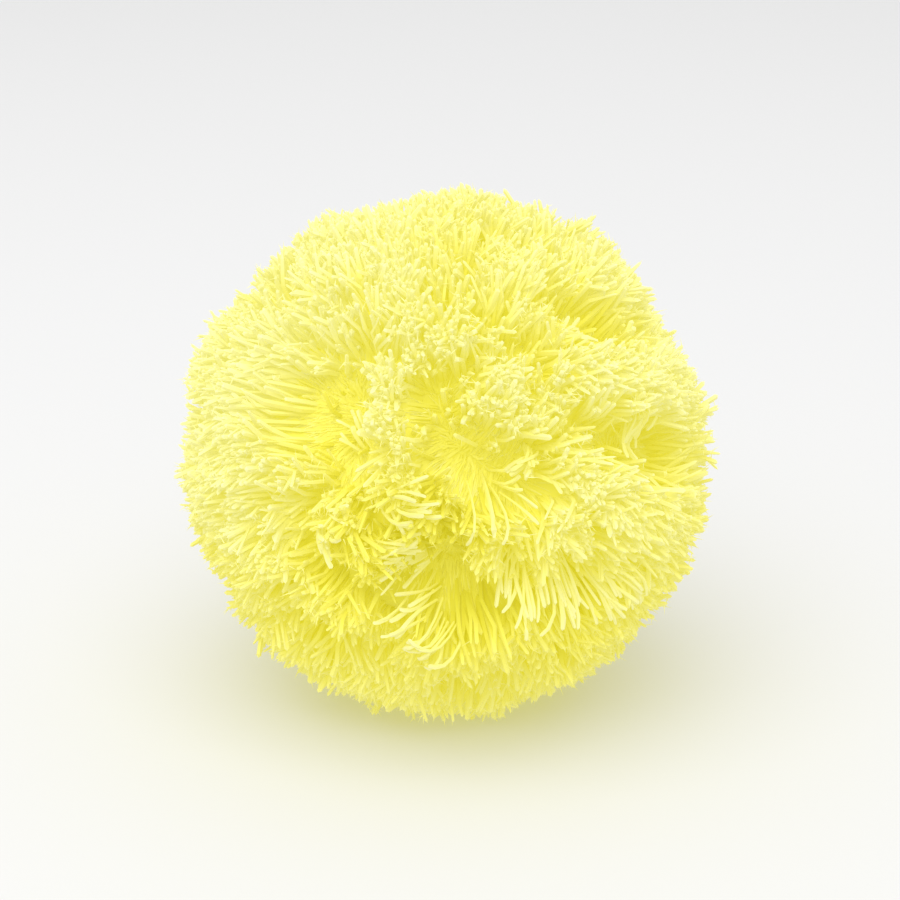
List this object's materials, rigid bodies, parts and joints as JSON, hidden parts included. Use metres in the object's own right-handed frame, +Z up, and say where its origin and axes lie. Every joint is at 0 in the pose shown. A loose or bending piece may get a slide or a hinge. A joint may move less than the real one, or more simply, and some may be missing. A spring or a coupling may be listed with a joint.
{
  "type": "yarn pom pom",
  "caption": "Dense round ball of cut yarn with an uneven trimmed pile and soft partings, a trimming for hats, garlands and cushions, resting on a small pressed flat.",
  "frame": {"origin": "middle of the underside, in the plane of the small pressed flat that the ball stands on", "axes": "+Z up through the ball's middle, -Y towards the front, +X to the right"},
  "size_m": [0.0798, 0.0794, 0.0779],
  "materials": {
    "yarn": "matt cut acrylic yarn, pale lemon at the ends and deeper yellow between the locks"
  },
  "bodies": {
    "root": {"yarn_pile": "yarn"}
  },
  "joints": []
}
